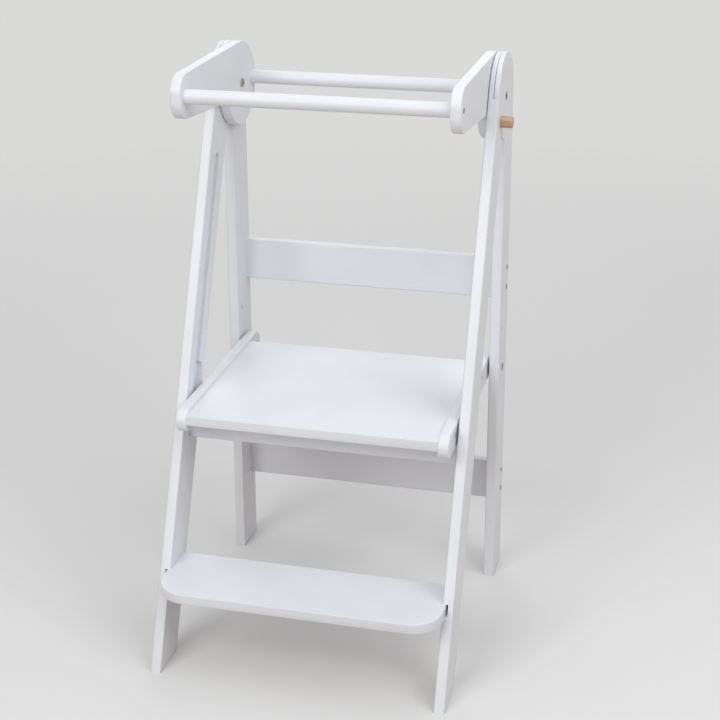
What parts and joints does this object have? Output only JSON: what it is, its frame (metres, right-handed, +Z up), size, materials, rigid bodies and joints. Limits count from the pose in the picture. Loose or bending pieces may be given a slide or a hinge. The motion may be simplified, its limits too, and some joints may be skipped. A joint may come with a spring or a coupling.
{
  "type": "folding toddler kitchen helper stool",
  "caption": "White wooden A-shaped helper stool that folds flat: step, hinged standing platform, swinging dowel guard and wooden lock pegs.",
  "frame": {"origin": "on the floor, in the middle of the stool's overall width and depth", "axes": "+Z up; -Y to the side the child climbs, where the step juts out; +X to the right seen from that side"},
  "size_m": [0.454, 0.4576, 0.815],
  "materials": {
    "painted_board": "satin white lacquer on solid board",
    "painted_dowel": "satin white lacquer on turned dowel",
    "peg_wood": "clear oiled hardwood",
    "black_steel": "black phosphated steel",
    "zinc_steel": "zinc plated",
    "brass_nut": "plain brass",
    "nylon_washer": "natural nylon"
  },
  "bodies": {
    "front_frame": {"front_leg_left": "painted_board", "front_leg_right": "painted_board", "lower_step": "painted_board", "front_stretcher": "painted_board", "head_pivot_bolts": "black_steel", "head_barrel_nuts": "brass_nut", "head_washers": "nylon_washer"},
    "rear_frame": {"rear_leg_left": "painted_board", "rear_leg_right": "painted_board", "upper_back_rail": "painted_board", "lower_back_rail": "painted_board", "back_rail_screws": "black_steel", "platform_pivot_bolts": "black_steel", "platform_barrel_nuts": "brass_nut", "platform_washers": "nylon_washer"},
    "platform": {"platform_panel": "painted_board", "platform_cleat_left": "painted_board", "platform_cleat_right": "painted_board", "platform_screws": "zinc_steel", "platform_guide_pins": "zinc_steel"},
    "guard": {"guard_panel_left": "painted_board", "guard_panel_right": "painted_board", "guard_front_dowel": "painted_dowel", "guard_rear_dowel": "painted_dowel", "guard_dowel_screws": "black_steel"},
    "lock_peg_left": {"lock_peg_left": "peg_wood"},
    "lock_peg_right": {"lock_peg_right": "peg_wood"}
  },
  "joints": [
    {"name": "rear_frame_fold", "type": "hinge", "parent": "front_frame", "child": "rear_frame", "pos_m": [0, 0.16808, 0.75425], "axis": [-1, 0, 0], "range_deg": [0, 21.5]},
    {"name": "platform_lift", "type": "hinge", "parent": "rear_frame", "child": "platform", "pos_m": [0, 0.18659, 0.3365], "axis": [-1, 0, 0], "range_deg": [0, 80]},
    {"name": "guard_swing", "type": "hinge", "parent": "front_frame", "child": "guard", "pos_m": [0, 0.16808, 0.75425], "axis": [1, 0, 0], "range_deg": [-90, 42]},
    {"name": "lock_peg_left_pull", "type": "slide", "parent": "rear_frame", "child": "lock_peg_left", "axis": [-1, 0, 0], "range_m": [0, 0.03]},
    {"name": "lock_peg_right_pull", "type": "slide", "parent": "rear_frame", "child": "lock_peg_right", "axis": [1, 0, 0], "range_m": [0, 0.03]}
  ]
}
